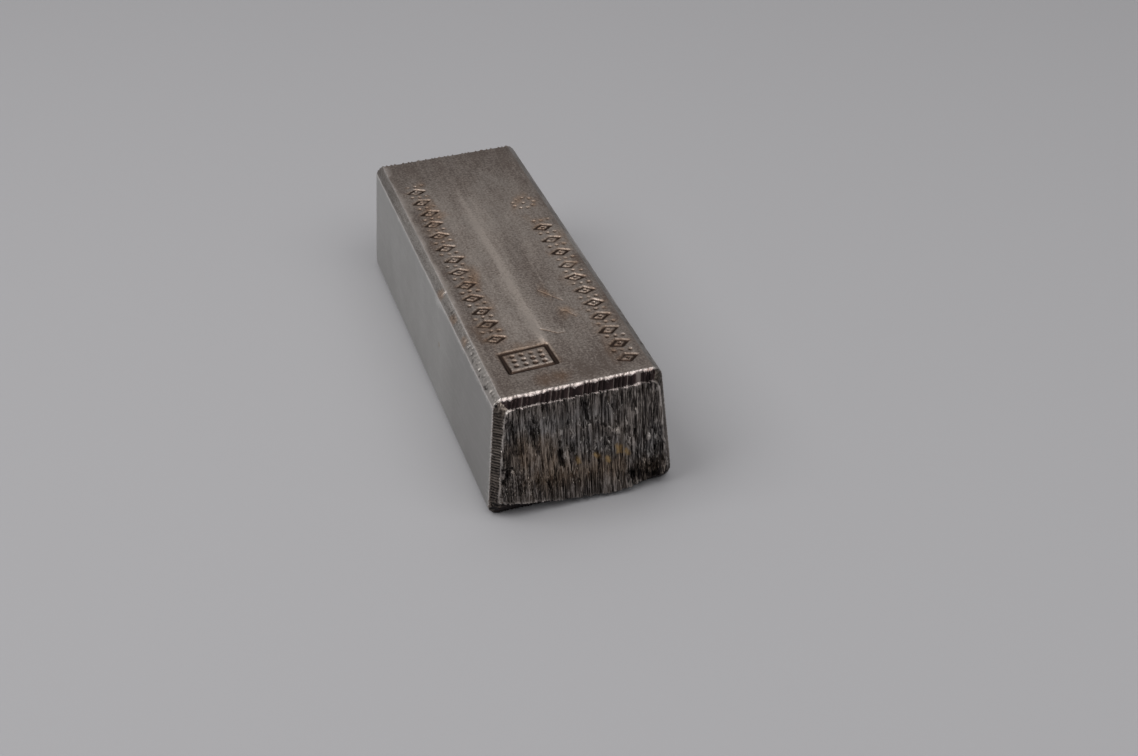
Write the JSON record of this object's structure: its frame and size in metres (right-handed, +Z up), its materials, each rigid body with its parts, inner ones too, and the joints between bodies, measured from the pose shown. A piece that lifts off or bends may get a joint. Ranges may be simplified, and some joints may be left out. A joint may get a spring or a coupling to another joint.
{
  "type": "metal ingot",
  "caption": "Short bar of silver-grey metal with a trapezoid section, rounded long edges and bevelled sawn ends, lying on its wider face: raw metal stock.",
  "frame": {"origin": "middle of the flat base that the bar lies on", "axes": "+Y along the bar, from one sawn end to the other; +Z up, from the wide base to the narrower top; +X across the bar"},
  "size_m": [0.02, 0.0554, 0.0142],
  "materials": {
    "tarnished_silver": "satin, dulled by brown tarnish on top and dark on the sawn ends"
  },
  "bodies": {
    "root": {"ingot": "tarnished_silver"}
  },
  "joints": []
}
